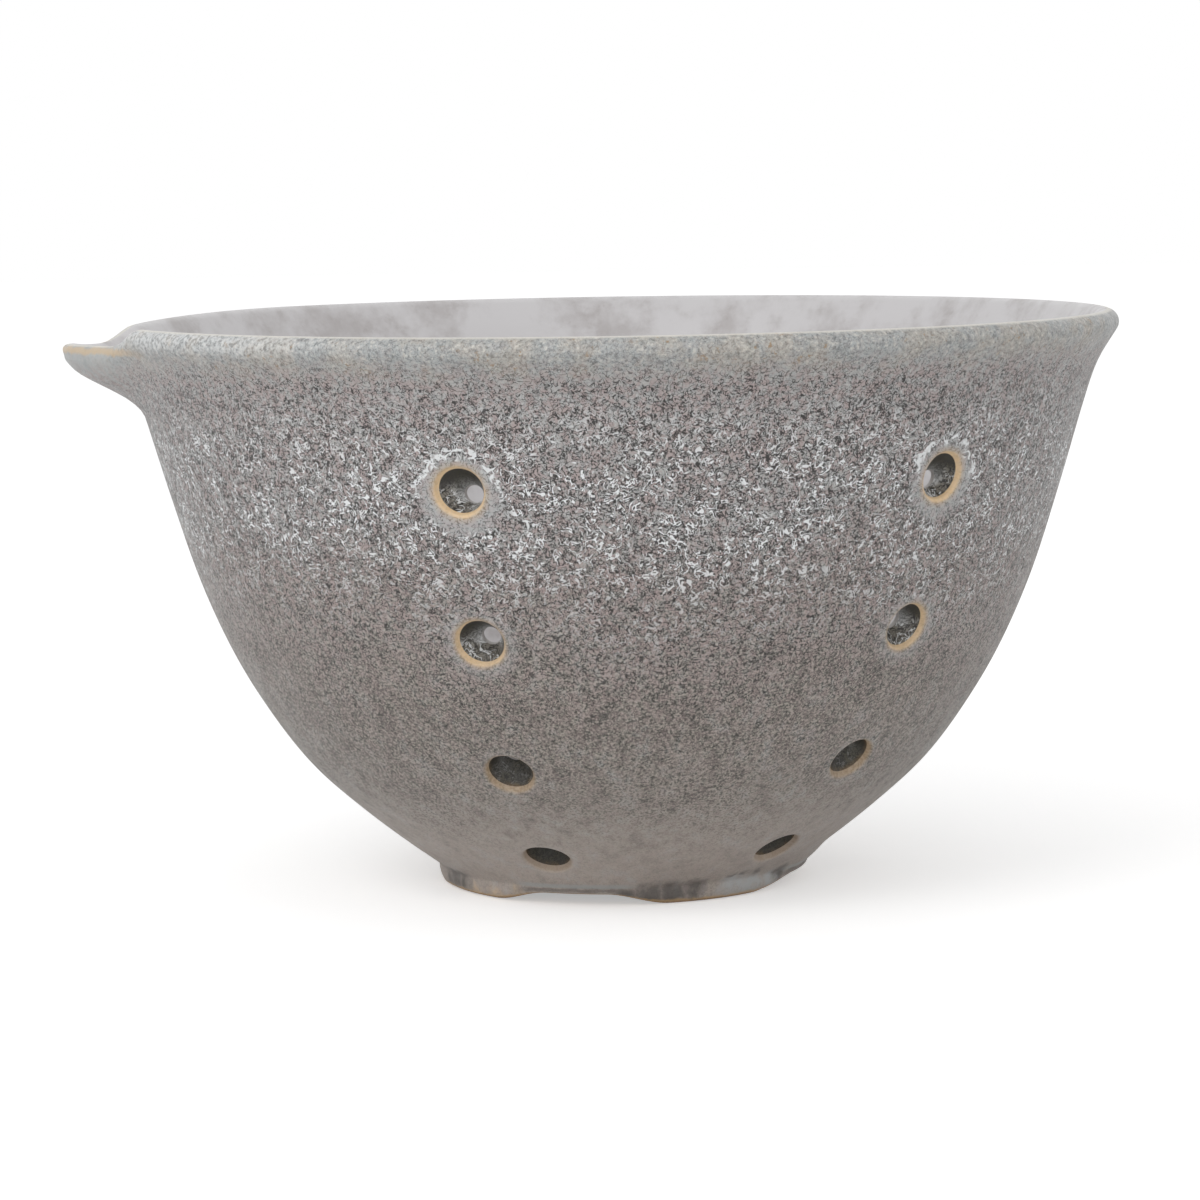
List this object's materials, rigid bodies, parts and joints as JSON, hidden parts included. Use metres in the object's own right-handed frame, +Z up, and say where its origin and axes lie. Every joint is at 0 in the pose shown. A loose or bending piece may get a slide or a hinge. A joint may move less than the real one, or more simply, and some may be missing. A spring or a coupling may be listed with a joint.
{
  "type": "berry bowl",
  "caption": "Glazed stoneware bowl with rows of drain holes, a pulled pouring spout and an arched foot ring, for rinsing and draining berries.",
  "frame": {"origin": "on the table that the bowl stands on, in the middle of the rectangle that the bowl and its spout fill seen from above", "axes": "+Z up out of the bowl's mouth, -X towards the tip of the pouring spout, +Y to the right-handed side across the bowl"},
  "size_m": [0.1525, 0.1464, 0.0825],
  "materials": {
    "stoneware_clay": "matte",
    "outer_glaze": "satin",
    "inner_glaze": "satin",
    "drain_hole_glaze": "satin"
  },
  "bodies": {
    "root": {"bowl_wall": "stoneware_clay", "foot_ring": "stoneware_clay", "pouring_spout": "stoneware_clay", "outer_glaze": "outer_glaze", "inner_glaze": "inner_glaze", "spout_outer_glaze": "outer_glaze", "spout_inner_glaze": "inner_glaze", "foot_glaze": "outer_glaze", "base_glaze": "outer_glaze", "drain_hole_glaze": "drain_hole_glaze"}
  },
  "joints": []
}
